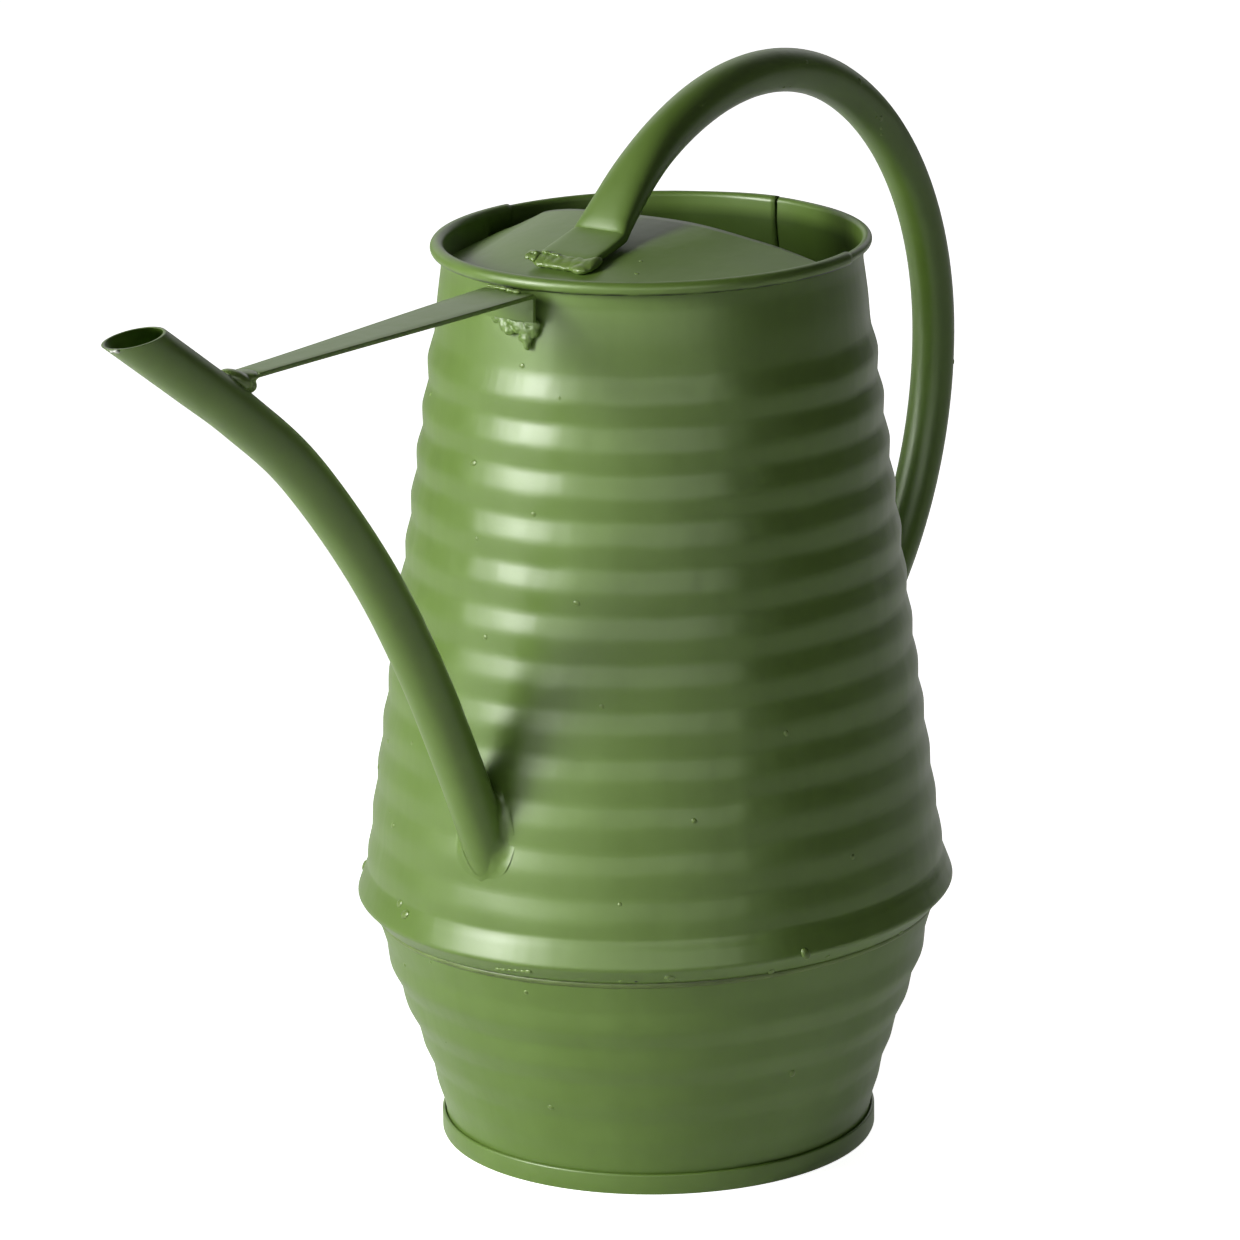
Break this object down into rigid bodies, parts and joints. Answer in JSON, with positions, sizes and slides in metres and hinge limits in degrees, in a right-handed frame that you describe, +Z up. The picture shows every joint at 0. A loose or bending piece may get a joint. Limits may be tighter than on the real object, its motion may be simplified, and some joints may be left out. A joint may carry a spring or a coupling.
{
  "type": "watering can",
  "caption": "Enamelled tinplate watering can with a ribbed conical body, a half-covered mouth, a bent tube handle over the top and a long thin spout held by a flat brace.",
  "frame": {"origin": "middle of the can's footprint box on the floor, 47 mm in front of the body's own axis (the spout reaches further than the handle)", "axes": "-X towards the spout's mouth, +X towards the back of the handle, +Z up; Y runs across"},
  "size_m": [0.4425, 0.2012, 0.3596],
  "materials": {
    "green_enamel": "satin green enamel on tinplate",
    "enamelled_solder": "the same enamel, glossier and lumpy over soft solder",
    "tinned_wire": "dull tinned wire, hidden in the rolled rim"
  },
  "bodies": {
    "root": {"base_plate": "green_enamel", "foot_band": "green_enamel", "lower_shell": "green_enamel", "upper_shell": "green_enamel", "rim_wire": "tinned_wire", "half_cover": "green_enamel", "spout_tube": "green_enamel", "brace_strap": "green_enamel", "handle_tube": "green_enamel", "shoulder_solder": "enamelled_solder", "spout_root_solder": "enamelled_solder", "brace_body_solder": "enamelled_solder", "brace_spout_solder": "enamelled_solder", "handle_front_solder": "enamelled_solder", "handle_rear_solder": "enamelled_solder"}
  },
  "joints": []
}
